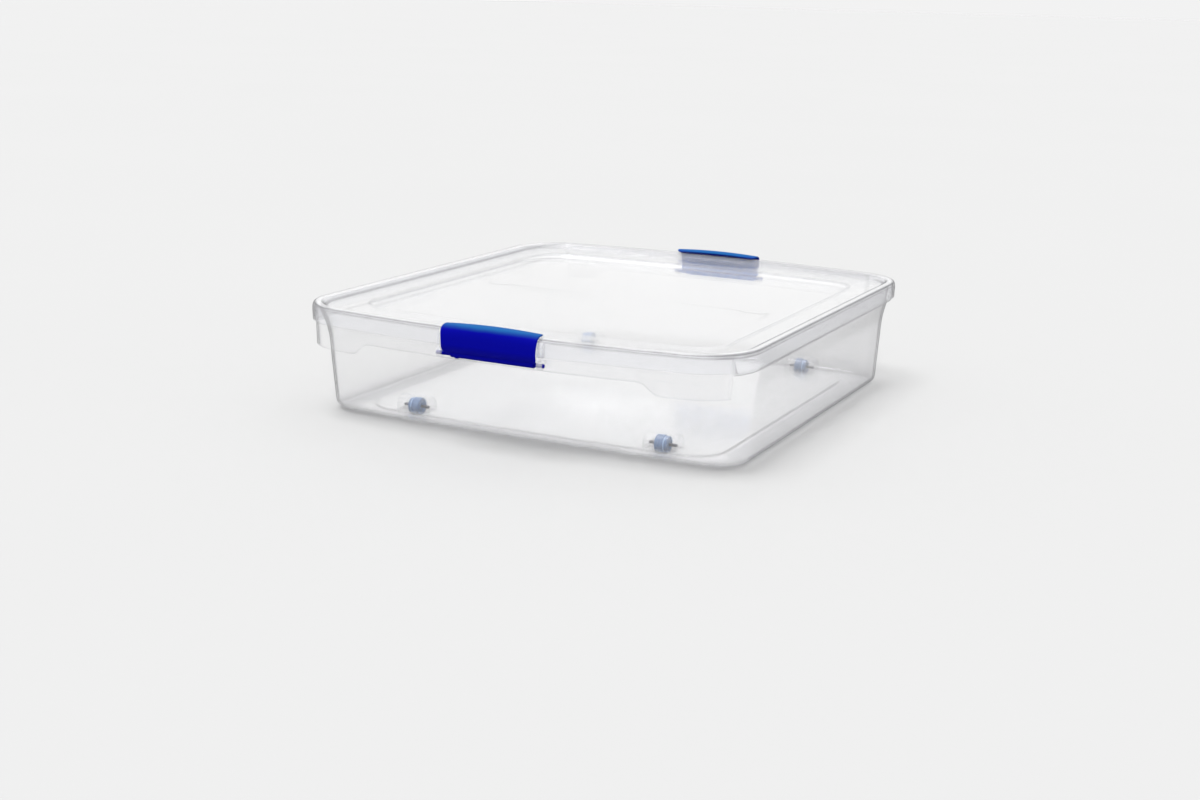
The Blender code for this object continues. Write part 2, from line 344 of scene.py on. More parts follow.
def rod_x(bm, centre, radius, half_length, edge, steps=48):
    """Adds a rod along X with rounded ends."""
    path = rounded([(-half_length, 0.0, 0), (-half_length, radius, edge), (half_length, radius, edge),
                    (half_length, 0.0, 0)], steps=4)
    rows = []
    for x, r in path[1:-1]:
        rows.append([bm.verts.new((centre[0] + x, centre[1] + r * math.cos(2 * math.pi * i / steps),
                                   centre[2] + r * math.sin(2 * math.pi * i / steps)))
                     for i in range(steps)])
    for first, second in zip(rows, rows[1:]):
        for i in range(steps):
            j = (i + 1) % steps
            bm.faces.new((first[i], first[j], second[j], second[i]))
    bm.faces.new(rows[0])
    bm.faces.new(rows[-1])


def prism_x(bm, sections):
    """Adds a solid through closed (x, [(y, z), ...]) sections, capped at both ends."""
    rows = [[bm.verts.new((x, y, z)) for y, z in profile] for x, profile in sections]
    count = len(rows[0])
    for first, second in zip(rows, rows[1:]):
        for i in range(count):
            j = (i + 1) % count
            bm.faces.new((first[i], first[j], second[j], second[i]))
    bm.faces.new(rows[0])
    bm.faces.new(rows[-1])


def edge_rounding(half, edge, steps=6):
    """(x, how far the outline draws in) pairs along a solid whose two ends are rounded."""
    quarter = []
    for i in range(steps + 1):
        turn = math.pi / 2 * i / steps
        quarter.append((half - edge + edge * math.sin(turn), edge * (1 - math.cos(turn))))
    return [(-x, back) for x, back in reversed(quarter)] + quarter


def arch_profile(y, z, radius, bottom_z, steps=28):
    points = [(y + radius, bottom_z)]
    for i in range(steps + 1):
        turn = math.pi * i / steps
        points.append((y + radius * math.cos(turn), z + radius * math.sin(turn)))
    return points + [(y - radius, bottom_z)]


# ---------------------------------------------------------------- objects


def object_of(name, bm, *materials):
    """The bmesh as an object, smooth except over edges sharper than 40 degrees."""
    mesh = bpy.data.meshes.new(name)
    bmesh.ops.recalc_face_normals(bm, faces=bm.faces)
    bm.to_mesh(mesh)
    bm.free()
    mesh.shade_smooth()
    mesh.set_sharp_from_angle(angle=math.radians(40))
    obj = bpy.data.objects.new(name, mesh)
    bpy.context.scene.collection.objects.link(obj)
    for surface in materials:
        mesh.materials.append(surface)
    return obj


def combine(obj, *steps):
    """Applies Booleans in order, each (operation, bmesh), and frees the helpers."""
    helpers = []
    for i, (operation, bm) in enumerate(steps):
        helper = object_of(f"{obj.name}_step_{i}", bm)
        helpers.append(helper)
        modifier = obj.modifiers.new(helper.name, "BOOLEAN")
        modifier.operation = operation
        modifier.solver = "EXACT"
        modifier.object = helper
    graph = bpy.context.evaluated_depsgraph_get()
    made = bpy.data.meshes.new_from_object(obj.evaluated_get(graph), depsgraph=graph)
    obj.modifiers.clear()
    old = obj.data
    obj.data = made
    bpy.data.meshes.remove(old)
    for helper in helpers:
        bpy.data.objects.remove(helper)
    bm = bmesh.new()
    bm.from_mesh(made)
    bmesh.ops.remove_doubles(bm, verts=bm.verts, dist=2e-6)
    bmesh.ops.dissolve_degenerate(bm, edges=bm.edges, dist=2e-6)
    bm.to_mesh(made)
    bm.free()
    made.shade_smooth()
    made.set_sharp_from_angle(angle=math.radians(40))
    return obj


def mark_plastic(obj, full, shade_at, frost_and_highlight_at):
    """Stores how the clear plastic of each vertex looks.

    `bend` is 0 on flat plastic and 1 where it turns with a radius of `full` or less: bends are
    painted darker, a painted shade for the light that a tight bend throws aside.
    shade_at(point, bend) may change it.
    `frost_and_highlight` is how much whiter than the rest a spot is, from frost_and_highlight_at(point).
    """
    mesh = obj.data
    bm = bmesh.new()
    bm.from_mesh(mesh)
    bm.normal_update()
    bend = [0.0] * len(bm.verts)
    for vert in bm.verts:
        for edge in vert.link_edges:
            if len(edge.link_faces) != 2:
                continue
            first, second = edge.link_faces
            apart = (first.calc_center_median() - second.calc_center_median()).length
            turn = first.normal.angle(second.normal, 0.0)
            if apart > 1e-7 and turn < 2.6:
                bend[vert.index] = max(bend[vert.index], min(1.0, turn / max(apart, full * 0.3) * full))
    bend = [shade_at(vert.co, amount) for vert, amount in zip(bm.verts, bend)]
    frost_and_highlight = [frost_and_highlight_at(vert.co) for vert in bm.verts]
    bm.free()
    mesh.attributes.new("bend", "FLOAT", "POINT").data.foreach_set("value", bend)
    mesh.attributes.new("frost_and_highlight", "FLOAT", "POINT").data.foreach_set("value", frost_and_highlight)


def steady_normals(obj):
    """Keeps flat faces flat beside their rounded edges."""
    modifier = obj.modifiers.new("weighted_normals", "WEIGHTED_NORMAL")
    modifier.mode = "FACE_AREA"
    modifier.keep_sharp = True
    modifier.weight = 60


# ---------------------------------------------------------------- tub


def apron_row(deep_inset, lip_inset, height_of):
    """A ring that runs down inside the apron where there is one, and along the lip elsewhere.

    deep_inset and lip_inset are its two insets. height_of(there, lower, under) gives its height
    from an entry of APRON.
    """
    deep, lip = inset_ring(deep_inset, 0), inset_ring(lip_inset, 0)
    row = []
    for i, (there, lower, under) in enumerate(APRON):
        x, y, _ = deep[i] if there else lip[i]
        row.append((x, y, height_of(there, lower, under)))
    return row


def under_flange_rings():
    """Out along the underside of the flange, into the corner with the apron."""
    return [
        apron_row(0.0078, 0.00515, lambda there, lower, under: under),
        apron_row(0.0062, 0.00514, lambda there, lower, under: under - 0.00004),
        apron_row(0.0054, 0.00513, lambda there, lower, under: under - (0.0006 if there else 0.00008)),
    ]


def apron_inner_rings():
    """Down the apron's inner face. Where there is no apron the rings crowd together at the lip."""
    rings = []
    for share in (0.04, 0.3, 0.6, 0.97):

        def height_of(there, lower, under, share=share):
            step_down = 0.0010 if there and share < 0.1 else 0.0
            return under + (lower + 0.0008 - under) * share * (1 if there else 0.6) - step_down

        rings.append(apron_row(0.0052 + 0.0022 * share, 0.00512, height_of))
    return rings


def apron_edge_rings():
    """Round the apron's lower edge and up its outer face to the lip."""
    rings = []
    for deep_inset, lip_inset, rise in ((0.0074, 0.0051, 0.0008), (0.0071, 0.0050, 0.0003),
                                        (0.0063, 0.0049, 0.0), (0.0055, 0.0047, 0.0003),
                                        (0.0052, 0.0046, 0.0008)):

        def edge_height(there, lower, _, rise=rise):
            return lower + (rise if there else rise * 0.25 + 0.0001)

        rings.append(apron_row(deep_inset, lip_inset, edge_height))
    for share in (0.25, 0.6, 0.9):

        def face_height(there, lower, _, share=share):
            return lower + 0.0008 + (LIP_Z + 0.0008 - lower) * share * (1 if there else 0.5)

        rings.append(apron_row(0.0052 - 0.0008 * share, 0.0045, face_height))
    return rings


def tub_rings():
    """From the middle of the underside, up the outer wall, over the rim, down to the inner floor."""
    under_z = BASE_Z + FLOOR_STEP
    rings = [panel_ring(FLOOR_PANEL, -0.012, under_z), panel_ring(FLOOR_PANEL, -0.002, under_z)]
    for i in range(1, 6):
        rings.append(panel_ring(FLOOR_PANEL, -0.002 + 0.004 * i / 5,
                                under_z - FLOOR_STEP * smoothstep(0, 5, i)))
    rings.append(panel_ring(FLOOR_PANEL, 0.006, BASE_Z))
    rings += fillet_rings(0.0, BASE_Z, BASE_RUN, BASE_RISE)

    # Up the outer wall to the flange, or only to the lip where there is no apron
    wall_zs = [0.0150 + 0.0045 * i for i in range(1, 31)]
    wall_zs = [z for z in wall_zs if z < FLANGE_UNDERSIDE_Z - 0.002] + [FLANGE_UNDERSIDE_Z - 0.0008]
    for k, z in enumerate(wall_zs):
        below = 0.00012 * (len(wall_zs) - k)
        rings.append([(px, py, min(z, under - below))
                      for (px, py, _), (_, _, under) in zip(wall_ring(z), APRON)])

    rings += under_flange_rings()
    rings += apron_inner_rings()
    rings += apron_edge_rings()
    rim = rounded([
        (0.0044, LIP_Z + 0.0012, 0), (0.0043, LIP_Z + 0.0019, 0.0006),
        (0.0028, LID_EDGE_Z - 0.0004, 0.0006), (0.0028, FLANGE_UNDERSIDE_Z - 0.0022, 0.0018),
        (0.0042, RIM_TOP_Z, 0.0012), (0.0055, RIM_TOP_Z, 0),
    ], steps=4)
    rings += [inset_ring(inset, z) for inset, z in rim]

    top_x, top_y, top_radius, top_bow = station(FLANGE_UNDERSIDE_Z)
    rings.append(ring(top_x - 0.0012, top_y + 0.0006, top_radius, top_bow, RIM_TOP_Z))
    rings.append(ring(top_x - 0.0018, top_y - 0.0008, top_radius, top_bow, RIM_TOP_Z - 0.0004))
    for z in [FLANGE_UNDERSIDE_Z] + wall_zs[-2::-1]:
        rings.append(wall_ring(z, WALL))
    inner_floor = BASE_Z + WALL
    rings += fillet_rings(WALL, inner_floor, BASE_RUN - WALL, BASE_RISE - WALL)[::-1]
    rings.append(panel_ring(FLOOR_PANEL, 0.008, inner_floor))
    for i in range(6):
        rings.append(panel_ring(FLOOR_PANEL, 0.004 * (1 - i / 5),
                                inner_floor + FLOOR_STEP * smoothstep(0, 5, i)))
    rings.append(panel_ring(FLOOR_PANEL, -0.010, inner_floor + FLOOR_STEP))
    return rings


def wheel_centres():
    """Each wheel's name to (its middle, its radius, +1 on the right and -1 on the left)."""
    found = {}
    for end in ENDS:
        for side, sign in SIDES.items():
            low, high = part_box(f"wheel_{end}_{side}")
            middle = (low + high) / 2
            found[f"{end}_{side}"] = (middle, (high.z - low.z) / 2, sign)
    return found


WHEELS = wheel_centres()


def ear_profile(end):
    """The half-round clear ear that holds a trunnion, on its short web to the apron."""
    root = RIM_HALF_Y - 0.0078
    profile = [(end * root, HINGE_Z + EAR_R)]
    for i in range(21):
        turn = math.pi / 2 - math.pi * i / 20
        profile.append((end * (HINGE_Y + EAR_R * math.cos(turn)), HINGE_Z + EAR_R * math.sin(turn)))
    return profile + [(end * root, HINGE_Z - EAR_R * 0.4)]


def apron_ends():
    """Where each front apron stops, on the box's outline: (x, y) a little inside the lid's edge."""
    edge = outline(RIM_HALF_X - 0.0055, RIM_HALF_Y - 0.0055, RIM_RADIUS - 0.0055, RIM_BOW)
    return [edge[i] for i, here in enumerate(APRON) if edge[i][1] < 0 and here[0] != APRON[i - 1][0]]


APRON_ENDS = apron_ends()


def drawn_in(profile, amount):
    """A profile shrunk towards its own middle by about this much."""
    count = len(profile)
    middle = (sum(p[0] for p in profile) / count, sum(p[1] for p in profile) / count)
    made = []
    for y, z in profile:
        away = math.hypot(y - middle[0], z - middle[1])
        scale = max(0.0, 1 - amount / away)
        made.append((middle[0] + (y - middle[0]) * scale, middle[1] + (z - middle[1]) * scale))
    return made


def near_wheel(point):
    """True on the housing that rises from the floor round a wheel."""
    return any(abs(point.x - middle.x) < ARCH_HALF + 0.0005 and abs(point.y - middle.y) < ARCH_R + 0.0005
               and point.z < middle.z + ARCH_R + 0.001 for middle, _, _ in WHEELS.values())


def near_hinge(point):
    """True on the clear ears and cheeks beside a latch."""
    return EAR_INNER_X - 0.0005 < abs(point.x) < EAR_OUTER_X + 0.0005 and abs(point.y) > RIM_HALF_Y - 0.004


def near_apron_end(point):
    """True on the upright ends of the apron, round the front corners."""
    return (abs(point.x) > 0.29 and point.y < -0.29 and point.z > APRON_CORNER_Z - 0.002
            and any(math.hypot(abs(point.x) - abs(x), point.y - y) < 0.0042 for x, y in APRON_ENDS))


def tub_shade(point, bend):
    """The bend shade of a spot on the tub, softened where the plastic is thin or hard to see."""
    if near_wheel(point):
        return bend * HOUSING_SHADE
    if near_apron_end(point):
        return bend * APRON_END_SHADE
    past_side = abs(point.x) > FLOOR_PANEL[0] + 0.006
    past_end = abs(point.y) > FLOOR_PANEL[1] + 0.006
    if (past_side or past_end) and point.z < BASE_Z + BASE_RISE + 0.0005:
        # The corner round the base is painted darkest where it meets the floor: a painted shade.
        return BASE_CORNER_SHADE - BASE_CORNER_FADE * smoothstep(BASE_Z, BASE_Z + BASE_RISE, point.z)
    on_panel_edge = point.z < BASE_Z + 0.006 and abs(point.x) > FLOOR_PANEL[0] - 0.004
    if on_panel_edge or not (past_side or past_end):
        return bend * FLOOR_SHADE
    if near_hinge(point):
        return bend * HINGE_SHADE
    if APRON_CORNER_Z - 0.002 < point.z < LIP_Z - 0.001:
        return bend * APRON_SHADE
    return bend


def tub_frost(point):
    """How much whiter than the rest a spot on the tub is."""
    if near_wheel(point):
        return HOUSING_FROST
    if near_apron_end(point):
        return APRON_END_FROST
    return EAR_FROST if near_hinge(point) else 0.0


def make_tub(surface):
    tub = object_of("clear_tub_shell", loft(tub_rings()), surface)
    arches, pockets, slots = bmesh.new(), bmesh.new(), bmesh.new()
    for middle, _, _ in WHEELS.values():
        prism_x(arches, [
            (middle.x + x, arch_profile(middle.y, middle.z, ARCH_R - back, BASE_Z + 0.0009))
            for x, back in edge_rounding(ARCH_HALF, ARCH_EDGE)])
        prism_x(pockets, [
            (middle.x + x, arch_profile(middle.y, middle.z, POCKET_R - back, -0.002))
            for x, back in edge_rounding(POCKET_HALF, 0.0008, steps=3)])
        prism_x(slots, [
            (middle.x + x, arch_profile(middle.y, middle.z, PIN_R + GAP, -0.001, steps=12))
            for x in (-SLOT_HALF, SLOT_HALF)])
    ears, holes = bmesh.new(), bmesh.new()
    ear_half = (EAR_OUTER_X - EAR_INNER_X) / 2
    ear_x = (EAR_OUTER_X + EAR_INNER_X) / 2
    for side in SIDES.values():
        for end in ENDS.values():
            prism_x(ears, [(side * ear_x + x, drawn_in(ear_profile(end), back))
                           for x, back in edge_rounding(ear_half, 0.0008, steps=3)])
            rod_x(holes, (side * ear_x, end * HINGE_Y, HINGE_Z), TRUNNION_R + GAP, 0.0055, 0.0002, steps=32)
    combine(tub, ("UNION", arches), ("UNION", ears), ("DIFFERENCE", pockets),
            ("DIFFERENCE", slots), ("DIFFERENCE", holes))
    mark_plastic(tub, 0.0030, tub_shade, tub_frost)
    steady_normals(tub)
    return tub


# ---------------------------------------------------------------- lid


def lid_rings():
    """From the middle of the sunk panel, over the crown and down the edge, and back underneath."""
    sunk_z = LID_PANEL_Z - LID_SUNK
    step = rounded([(-0.020, sunk_z, 0), (0.0, sunk_z, 0.009), (SUNK_STEP, LID_PANEL_Z, 0.009),
                    (SUNK_STEP + 0.006, LID_PANEL_Z, 0)], steps=6)
    rings = [panel_ring(SUNK_PANEL, offset, z) for offset, z in step]
    top = rounded([
        (0.0215, LID_PANEL_Z, 0), (0.0194, LID_PANEL_Z, 0), (0.0192, LID_PANEL_Z - FOLD_GROOVE, 0),
        (0.0172, LID_PANEL_Z - FOLD_GROOVE, 0.0008), (0.0148, CROWN_Z - 0.0014, 0.0016),
        (0.0110, CROWN_Z - 0.0002, 0.004), (0.0070, CROWN_Z, 0.006), (0.0022, CROWN_Z - 0.0008, 0.0022),
        (0.0004, CROWN_Z - 0.0042, 0.003), (0.0000, CROWN_Z - 0.0090, 0.003),
        (0.0004, LID_EDGE_Z, 0.0008), (0.0022, LID_EDGE_Z, 0.0008),
        (0.0022, CROWN_Z - 0.0068, 0.002), (0.0042, CROWN_Z - LID_SHEET, 0.002),
        (0.0110, CROWN_Z - LID_SHEET, 0.002), (0.0132, CROWN_Z - 0.0040, 0.0012),
        (0.0165, LID_PANEL_Z - LID_SHEET, 0.0012), (0.0205, LID_PANEL_Z - LID_SHEET, 0),
    ], steps=5)
    rings += [inset_ring(inset, z) for inset, z in top]
    under = rounded([(SUNK_STEP + 0.006, LID_PANEL_Z - LID_SHEET, 0),
                     (SUNK_STEP + 0.001, LID_PANEL_Z - LID_SHEET, 0.009),
                     (0.001, sunk_z - LID_SHEET, 0.009), (-0.020, sunk_z - LID_SHEET, 0)], steps=6)
    rings += [panel_ring(SUNK_PANEL, offset, z) for offset, z in under]
    return rings


def cheek_profile(end):
    """The clear cheek beside a latch, bulging like the latch's own face."""
    path = rounded([
        (RIM_HALF_Y - 0.0015, LID_EDGE_Z + 0.0005, 0), (RIM_HALF_Y + 0.0036, LID_EDGE_Z + 0.0005, 0.0012),
        (RIM_HALF_Y + 0.0042, LID_EDGE_Z + 0.0095, 0.006), (RIM_HALF_Y + 0.0034, CROWN_Z - 0.0072, 0.004),
        (RIM_HALF_Y + 0.0004, CROWN_Z - 0.0036, 0.0016), (RIM_HALF_Y - 0.0025, CROWN_Z - 0.0030, 0),
    ], steps=5)
    return [(end * y, z) for y, z in path]


def oval_disc(bm, centre, half, bottom_z, top_z, steps=56):
    """Adds a low oval plateau with a soft edge."""
    rows = []
    height = top_z - bottom_z
    levels = ((0.0, bottom_z), (0.0, top_z - height * 0.35), (0.0005, top_z - height * 0.08),
              (0.0012, top_z))
    for inset, z in levels:
        row = []
        for i in range(steps):
            turn = 2 * math.pi * i / steps
            row.append(bm.verts.new((centre[0] + (half[0] - inset) * math.cos(turn),
                                     centre[1] + (half[1] - inset) * math.sin(turn), z)))
        rows.append(row)
    for first, second in zip(rows, rows[1:]):
        for i in range(steps):
            j = (i + 1) % steps
            bm.faces.new((first[i], first[j], second[j], second[i]))
    bm.faces.new(rows[0])
    bm.faces.new(rows[-1])


def inset_of(point):
    """How far a point near the lid's edge is inside the lid's outline, in plan."""
    x, y = abs(point.x), abs(point.y)
    corner_x = RIM_HALF_X - RIM_RADIUS
    lean = math.atan(2 * RIM_BOW / corner_x)
    corner_y = RIM_HALF_Y - RIM_BOW - RIM_RADIUS * math.cos(lean)
    if y < corner_y:
        return RIM_HALF_X - x
    join_x = corner_x + RIM_RADIUS * math.sin(lean)
    if x < join_x:
        return RIM_HALF_Y - RIM_BOW * (x / join_x) ** 2 - y
    return RIM_RADIUS - math.hypot(x - corner_x, y - corner_y)


def on_outer_corner(point):
    """True along the outermost corner of the crown, where the plastic turns tightest."""
    return CROWN_Z - 0.0036 < point.z < CROWN_Z - 0.0004 and inset_of(point) < 0.0034


def side_look(point):
    """0 along the front and back of the lid's crown, 1 along its sides."""
    return smoothstep(*SIDE_LOOK, abs(point.x))


def on_cheek(point):
    return near_hinge(point) and point.z < CROWN_Z - 0.003


def lid_shade(point, bend):
    """The bend shade of a spot on the lid: softer on the cheeks and the lower edge."""
    if on_cheek(point):
        return bend * HINGE_SHADE
    if point.z < LID_EDGE_Z + 0.004:
        return bend * SKIRT_EDGE_SHADE
    in_groove = LID_PANEL_Z - 1.5 * FOLD_GROOVE < point.z < LID_PANEL_Z - 0.5 * FOLD_GROOVE
    if in_groove or LID_PANEL_Z + 0.00002 < point.z < LID_PANEL_Z + 0.0014:
        # The hairline groove where the flat margin meets the crown is painted dark, darkest along
        # the sides: a painted shade
        return FRONT_GROOVE_SHADE + (1 - FRONT_GROOVE_SHADE) * side_look(point)
    # Painted shade on the crown's outermost corner: full at the back and sides, less at the front
    if on_outer_corner(point):
        if point.y > -0.29:
            return 1.0
        return FRONT_CORNER_SHADE + (1 - FRONT_CORNER_SHADE) * side_look(point)
    return bend


def lid_frost_and_highlight(point):
    """How much whiter than the rest a spot on the lid is: most on the crown and the cheeks."""
    if on_cheek(point):
        return CHEEK_FROST
    if on_outer_corner(point):
        return 0.0
    # On the crown the whiteness is a painted highlight, stronger along the sides.
    beside = side_look(point)
    crown_highlight = FRONT_CROWN_HIGHLIGHT + (SIDE_CROWN_HIGHLIGHT - FRONT_CROWN_HIGHLIGHT) * beside
    return crown_highlight * smoothstep(CROWN_Z - 0.0024 - 0.0016 * beside, CROWN_Z - 0.0010, point.z)


def make_lid(surface):
    lid = object_of("clear_lid_shell", loft(lid_rings()), surface)
    cheeks = bmesh.new()
    cheek_half = (EAR_OUTER_X - EAR_INNER_X) / 2
    cheek_x = (EAR_OUTER_X + EAR_INNER_X) / 2
    for side in SIDES.values():
        for end in ENDS.values():
            prism_x(cheeks, [(side * cheek_x + x, drawn_in(cheek_profile(end), back))
                             for x, back in edge_rounding(cheek_half, 0.0008, steps=3)])
    marks = bmesh.new()
    sunk_z = LID_PANEL_Z - LID_SUNK
    for side in SIDES.values():
        oval_disc(marks, (side * MARK_X, MARK_Y), MARK_HALF, sunk_z - 0.0008, sunk_z + 0.0004)
    combine(lid, ("UNION", cheeks), ("UNION", marks))
    mark_plastic(lid, 0.0030, lid_shade, lid_frost_and_highlight)
    steady_normals(lid)
    return lid


# ---------------------------------------------------------------- latches

# The plate's middle line: (out from the hinge axis, above it, half its thickness)
LATCH_LINE = (
    (0.0013, 0.0006, 0.0013), (0.0030, 0.0035, 0.0013), (0.0049, 0.0073, 0.00135), (0.0060, 0.0116, 0.00135),
    (0.00595, 0.0160, 0.00135), (0.0058, 0.0212, 0.0014), (0.0052, 0.0262, 0.0014), (0.0036, 0.0306, 0.0014),
    (0.0010, 0.0335, 0.0014), (-0.0023, 0.0350, 0.0013), (-0.0075, 0.0356, 0.0012), (-0.0118, 0.0353, 0.0010),
    (-0.0145, 0.0344, 0.0009), (-0.0162, 0.0335, 0.0009),
)
LATCH_HEIGHT = 0.0375
LATCH_ARCH = 0.0024
LATCH_FLARE = 0.022


def latch_section(line, lengths, start, end, thickness_share):
    """A closed loop round the middle line between two arc lengths, with round ends."""
    steps = 44
    loop_out, loop_in = [], []
    for i in range(steps + 1):
        # Cosine spacing puts the points close together at both ends.
        share = (1 - math.cos(math.pi * i / steps)) / 2
        s = start + (end - start) * share
        k = next((j for j in range(len(lengths) - 2) if lengths[j + 1] >= s), len(lengths) - 2)
        t = (s - lengths[k]) / (lengths[k + 1] - lengths[k])
        here = Vector(line[k]).lerp(Vector(line[k + 1]), min(1.0, max(0.0, t)))
        before, after = Vector(line[max(k - 1, 0)]), Vector(line[min(k + 2, len(line) - 1)])
        along = (after - before).xy.normalized()
        normal = Vector((along.y, -along.x))
        edge = min(s - start, end - s)
        bluntness = min(1.0, edge / max(here.z, 1e-6))
        half = here.z * thickness_share * math.sqrt(max(0.0, 1 - (1 - bluntness) ** 2))
        half = max(half, 0.00005)
        loop_out.append((here.x + normal.x * half, here.y + normal.y * half))
        loop_in.append((here.x - normal.x * half, here.y - normal.y * half))
    return loop_out + loop_in[::-1]


def make_latch(end_name, surface):
    """A hinged hook as wide as a hand: rolled lower edge, bulging plate, lip over the lid's crown."""
    end = ENDS[end_name]
    line = curve_through(LATCH_LINE)
    lengths = [0.0]
    for a, b in zip(line, line[1:]):
        lengths.append(lengths[-1] + math.dist(a[:2], b[:2]))
    total = lengths[-1]
    edge = 0.0014
    flat = LATCH_HALF - LATCH_CORNER
    columns = [flat * (i / 14 - 1) for i in range(28 + 1)]
    tail = [flat + LATCH_CORNER * math.sin(math.pi / 2 * i / 14) for i in range(1, 15)]
    columns = [-x for x in reversed(tail)] + columns + tail
    bm = bmesh.new()
    rows = []
    for x in columns:
        over = max(0.0, abs(x) - flat)
        cut = LATCH_CORNER - math.sqrt(max(0.0, LATCH_CORNER ** 2 - over ** 2))
        near = max(0.0, (abs(x) - (LATCH_HALF - edge)) / edge)
        share = max(0.12, math.sqrt(max(0.0, 1 - near ** 2)))
        row = []
        for out, up in latch_section(line, lengths, cut, total - cut, share):
            # The lip bows up along the middle of the latch.
            arch = LATCH_ARCH * (1 - (x / LATCH_HALF) ** 2) * smoothstep(0.018, 0.034, up)
            flare = 1 + LATCH_FLARE * smoothstep(0.012, 0.034, up)
            row.append(bm.verts.new((x * flare, end * out, up + arch)))
        rows.append(row)
    count = len(rows[0])
    for first, second in zip(rows, rows[1:]):
        for i in range(count):
            j = (i + 1) % count
            bm.faces.new((first[i], first[j], second[j], second[i]))
    bm.faces.new(rows[0])
    bm.faces.new(rows[-1])
    latch = object_of(f"{end_name}_latch_hook", bm, surface)
    barrel, trunnion, lug = bmesh.new(), bmesh.new(), bmesh.new()
    rod_x(barrel, (0.004, 0, 0), BARREL_R, 0.0590, 0.0008)
    rod_x(trunnion, (0, 0, 0), TRUNNION_R, TRUNNION_END, 0.0006)
    rod_x(lug, (-0.0460, end * 0.0012, -0.0016), 0.0034, 0.0026, 0.0010)
    combine(latch, ("UNION", barrel), ("UNION", trunnion), ("UNION", lug))
    latch.location = HINGES[f"{end_name}_latch_body"]
    inside = [max(0.0, -end * corner.vector.y) * (1 - smoothstep(0.024, 0.031, vert.co.z))
              for corner, vert in zip(latch.data.vertex_normals, latch.data.vertices)]
    latch.data.attributes.new("inside", "FLOAT", "POINT").data.foreach_set("value", inside)
    return latch


# ---------------------------------------------------------------- wheels


def make_wheel(where, surface):
    """A spool: a wide tread with a soft shoulder, a groove, and a narrower flange outboard.

    The attribute `thin` marks the groove, which is painted lighter: a painted glow for the light
    that the plastic lets through there.
    """
    middle, radius, side = WHEELS[where]
    bore = PIN_R + GAP + 0.0001
    tread = rounded([
        (-WHEEL_HALF + 0.0012, bore, 0), (-WHEEL_HALF, bore + 0.0014, 0.0003), (-WHEEL_HALF, 0.0048, 0.0003),
        (-WHEEL_HALF + 0.0012, 0.0060, 0.0004), (-WHEEL_HALF + 0.0012, radius - 0.0032, 0.0004),
        (-WHEEL_HALF, radius - 0.0022, 0.0004), (-WHEEL_HALF, radius, 0.0012), (0.0022, radius, 0.0006),
        (0.0030, GROOVE_R, 0.0004), (0.0038, GROOVE_R, 0.0004), (0.0042, FLANGE_R, 0.0006),
        (WHEEL_HALF, FLANGE_R, 0.0010), (WHEEL_HALF, 0.0082, 0.0004), (WHEEL_HALF - 0.0012, 0.0074, 0.0004),
        (WHEEL_HALF - 0.0012, 0.0056, 0.0004), (WHEEL_HALF, 0.0046, 0.0004),
        (WHEEL_HALF, bore + 0.0003, 0.0002), (WHEEL_HALF - 0.0004, bore, 0),
    ], steps=4)
    bm = bmesh.new()
    lathe_x(bm, [(side * x, r) for x, r in tread], (0, 0, 0), steps=72)
    wheel = object_of(f"spool_{where}", bm, surface)
    thin = []
    for vert in wheel.data.vertices:
        in_groove = 0.0024 < side * vert.co.x < 0.0046 and math.hypot(vert.co.y, vert.co.z) < radius - 0.0003
        thin.append(1.0 if in_groove else 0.0)
    wheel.data.attributes.new("thin", "FLOAT", "POINT").data.foreach_set("value", thin)
    wheel.location = middle
    steady_normals(wheel)
    return wheel


def make_pin(where, surface):
    middle, _, _ = WHEELS[where]
    bm = bmesh.new()
    rod_x(bm, (0, 0, 0), PIN_R, PIN_HALF, 0.0005, steps=40)
    pin = object_of(f"pin_{where}", bm, surface)
    pin.location = middle
    return pin


# ---------------------------------------------------------------- materials


class Nodes:
    """Short calls for building one material's node tree."""

    def __init__(self, name):
        self.material = bpy.data.materials.new(name)
        self.material.use_nodes = True
        self.tree = self.material.node_tree
        self.tree.nodes.clear()
        self.output = self.tree.nodes.new("ShaderNodeOutputMaterial")

    def add(self, kind, **values):
        """A node of this kind; a value is an attribute, or a socket by its name with spaces as _."""
        node = self.tree.nodes.new(f"ShaderNode{kind}")
        for key, value in values.items():
            if hasattr(node, key):
                setattr(node, key, value)
                continue
            self.set(node.inputs[key.replace("_", " ")], value)
        return node

    def set(self, socket, value):
        if isinstance(value, bpy.types.NodeSocket):
            self.tree.links.new(value, socket)
        else:
            socket.default_value = value

    def math(self, operation, *values):
        node = self.add("Math", operation=operation)
        for socket, value in zip(node.inputs, values):
            self.set(socket, value)
        return node.outputs[0]

    def ramp(self, value, *stops):
        """A colour ramp through (position, colour) stops."""
        node = self.add("ValToRGB")
        elements = node.color_ramp.elements
        while len(elements) < len(stops):
            elements.new(0.5)
        for element, (position, colour) in zip(elements, stops):
            element.position = position
            element.color = (*colour, 1.0)
        self.tree.links.new(value, node.inputs["Fac"])
        return node.outputs["Color"]

    def noise(self, scale, detail=3.0, roughness=0.5):
        where = self.add("TexCoord").outputs["Object"]
        node = self.add("TexNoise", Vector=where, Scale=scale, Detail=detail, Roughness=roughness)
        return node.outputs["Fac"]

    def bump(self, height, strength, distance):
        return self.add("Bump", Height=height, Strength=strength, Distance=distance).outputs["Normal"]

    def mix(self, factor, first, second):
        node = self.add("MixShader")
        self.set(node.inputs[0], factor)
        self.tree.links.new(first, node.inputs[1])
        self.tree.links.new(second, node.inputs[2])
        return node.outputs[0]

    def finish(self, shader):
        self.tree.links.new(shader, self.output.inputs["Surface"])
        return self.material


# The strongest mirror-like reflection of the clear plastic
MOST_SHINE = 0.22


